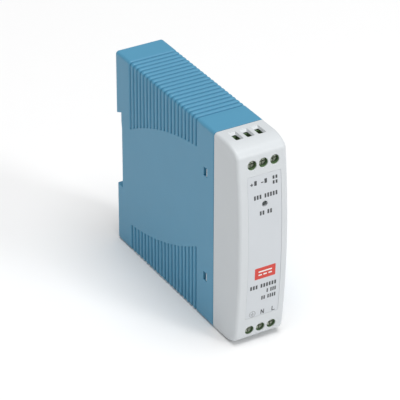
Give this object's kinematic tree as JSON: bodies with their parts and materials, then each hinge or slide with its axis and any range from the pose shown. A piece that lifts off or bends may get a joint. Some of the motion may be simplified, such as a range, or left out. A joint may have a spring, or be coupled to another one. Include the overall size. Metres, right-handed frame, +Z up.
{
  "type": "din rail power supply",
  "caption": "Slim ribbed power supply that clips onto a 35 mm rail, with a bowed front cover, screw terminals at top and base, a status light and a sprung rail latch.",
  "frame": {"origin": "middle of the base, below the centre of the case", "axes": "+X across the width, +Y from the front cover back to the rail, +Z up; seen from the front +X is to the right"},
  "size_m": [0.0226, 0.1, 0.09],
  "materials": {
    "housing_plastic": "fine-grained moulded blue plastic",
    "cover_plastic": "fine-grained moulded light grey plastic",
    "label_film": "satin printed film",
    "terminal_plastic": "moulded green plastic",
    "dark_plastic": "matt black plastic",
    "white_plastic": "natural white plastic",
    "screw_steel": "zinc-plated",
    "cage_steel": "zinc-plated, stamped",
    "tinned_brass": "tinned",
    "board_laminate": "green solder resist",
    "led_lens": "tinted clear resin",
    "can_sleeve": "shrunk sleeve",
    "ferrite": "sintered ferrite",
    "winding_tape": "polyester tape over wire",
    "copper_wire": "enamelled copper",
    "sink_aluminium": "extruded",
    "film_box": "moulded capacitor case",
    "blue_coat": "dipped epoxy",
    "dark_coat": "dipped epoxy",
    "latch_plastic": "matt black moulded plastic"
  },
  "bodies": {
    "case": {"housing": "housing_plastic", "front_cover": "cover_plastic", "label_plate": "label_film", "latch_spring": "cage_steel", "front_board": "board_laminate", "main_board": "board_laminate", "header_upper": "dark_plastic", "header_lower": "dark_plastic", "status_led": "led_lens", "led_spacer": "white_plastic", "terminal_block_dc": "terminal_plastic", "terminal_block_ac": "terminal_plastic", "fuse": "dark_plastic", "inrush_thermistor": "dark_coat", "varistor": "blue_coat", "x_capacitor": "film_box", "line_choke": "copper_wire", "bridge_rectifier": "dark_plastic", "bulk_capacitor": "can_sleeve", "smoothing_capacitor": "can_sleeve", "transformer_core": "ferrite", "transformer_bobbin": "dark_plastic", "transformer_winding": "winding_tape", "transistor_heatsink": "sink_aluminium", "switching_transistor": "dark_plastic", "controller_chip": "dark_plastic", "optocoupler": "white_plastic", "y_capacitor": "blue_coat", "output_diode": "dark_plastic", "output_capacitor_upper": "can_sleeve", "output_capacitor_lower": "can_sleeve", "output_inductor": "copper_wire", "filter_capacitor": "can_sleeve", "bleed_resistor": "dark_plastic", "contact_plus": "tinned_brass", "contact_minus": "tinned_brass", "contact_dc_ok": "tinned_brass", "contact_earth": "tinned_brass", "contact_neutral": "tinned_brass", "contact_live": "tinned_brass"},
    "latch": {"rail_latch": "latch_plastic"},
    "screw_plus": {"screw_plus": "screw_steel"},
    "cage_plus": {"cage_plus": "cage_steel"},
    "screw_minus": {"screw_minus": "screw_steel"},
    "cage_minus": {"cage_minus": "cage_steel"},
    "screw_dc_ok": {"screw_dc_ok": "screw_steel"},
    "cage_dc_ok": {"cage_dc_ok": "cage_steel"},
    "screw_earth": {"screw_earth": "screw_steel"},
    "cage_earth": {"cage_earth": "cage_steel"},
    "screw_neutral": {"screw_neutral": "screw_steel"},
    "cage_neutral": {"cage_neutral": "cage_steel"},
    "screw_live": {"screw_live": "screw_steel"},
    "cage_live": {"cage_live": "cage_steel"}
  },
  "joints": [
    {"name": "latch_slide", "type": "slide", "parent": "case", "child": "latch", "axis": [0, 0, -1], "range_m": [0, 0.0045], "stiffness_N_per_m": 400, "springref_m": -0.002, "deforming": ["latch_spring"]},
    {"name": "screw_plus_turn", "type": "hinge", "parent": "case", "child": "screw_plus", "pos_m": [-0.00458, -0.042, 0.0821], "axis": [0, 1, 0], "range_deg": [0, 1728]},
    {"name": "screw_minus_turn", "type": "hinge", "parent": "case", "child": "screw_minus", "pos_m": [0.0005, -0.042, 0.0821], "axis": [0, 1, 0], "range_deg": [0, 1728]},
    {"name": "screw_dc_ok_turn", "type": "hinge", "parent": "case", "child": "screw_dc_ok", "pos_m": [0.00558, -0.042, 0.0821], "axis": [0, 1, 0], "range_deg": [0, 1728]},
    {"name": "screw_earth_turn", "type": "hinge", "parent": "case", "child": "screw_earth", "pos_m": [-0.00458, -0.042, 0.0064], "axis": [0, 1, 0], "range_deg": [0, 1728]},
    {"name": "screw_neutral_turn", "type": "hinge", "parent": "case", "child": "screw_neutral", "pos_m": [0.0005, -0.042, 0.0064], "axis": [0, 1, 0], "range_deg": [0, 1728]},
    {"name": "screw_live_turn", "type": "hinge", "parent": "case", "child": "screw_live", "pos_m": [0.00558, -0.042, 0.0064], "axis": [0, 1, 0], "range_deg": [0, 1728]},
    {"name": "cage_plus_rise", "type": "slide", "parent": "case", "child": "cage_plus", "axis": [0, -1, 0], "range_m": [0, 0.0024]},
    {"name": "cage_minus_rise", "type": "slide", "parent": "case", "child": "cage_minus", "axis": [0, -1, 0], "range_m": [0, 0.0024]},
    {"name": "cage_dc_ok_rise", "type": "slide", "parent": "case", "child": "cage_dc_ok", "axis": [0, -1, 0], "range_m": [0, 0.0024]},
    {"name": "cage_earth_rise", "type": "slide", "parent": "case", "child": "cage_earth", "axis": [0, -1, 0], "range_m": [0, 0.0024]},
    {"name": "cage_neutral_rise", "type": "slide", "parent": "case", "child": "cage_neutral", "axis": [0, -1, 0], "range_m": [0, 0.0024]},
    {"name": "cage_live_rise", "type": "slide", "parent": "case", "child": "cage_live", "axis": [0, -1, 0], "range_m": [0, 0.0024]}
  ],
  "couplings": [
    {"joint": "screw_plus_turn", "follows": "cage_plus_rise", "rad_per_m": 12566},
    {"joint": "screw_minus_turn", "follows": "cage_minus_rise", "rad_per_m": 12566},
    {"joint": "screw_dc_ok_turn", "follows": "cage_dc_ok_rise", "rad_per_m": 12566},
    {"joint": "screw_earth_turn", "follows": "cage_earth_rise", "rad_per_m": 12566},
    {"joint": "screw_neutral_turn", "follows": "cage_neutral_rise", "rad_per_m": 12566},
    {"joint": "screw_live_turn", "follows": "cage_live_rise", "rad_per_m": 12566}
  ]
}
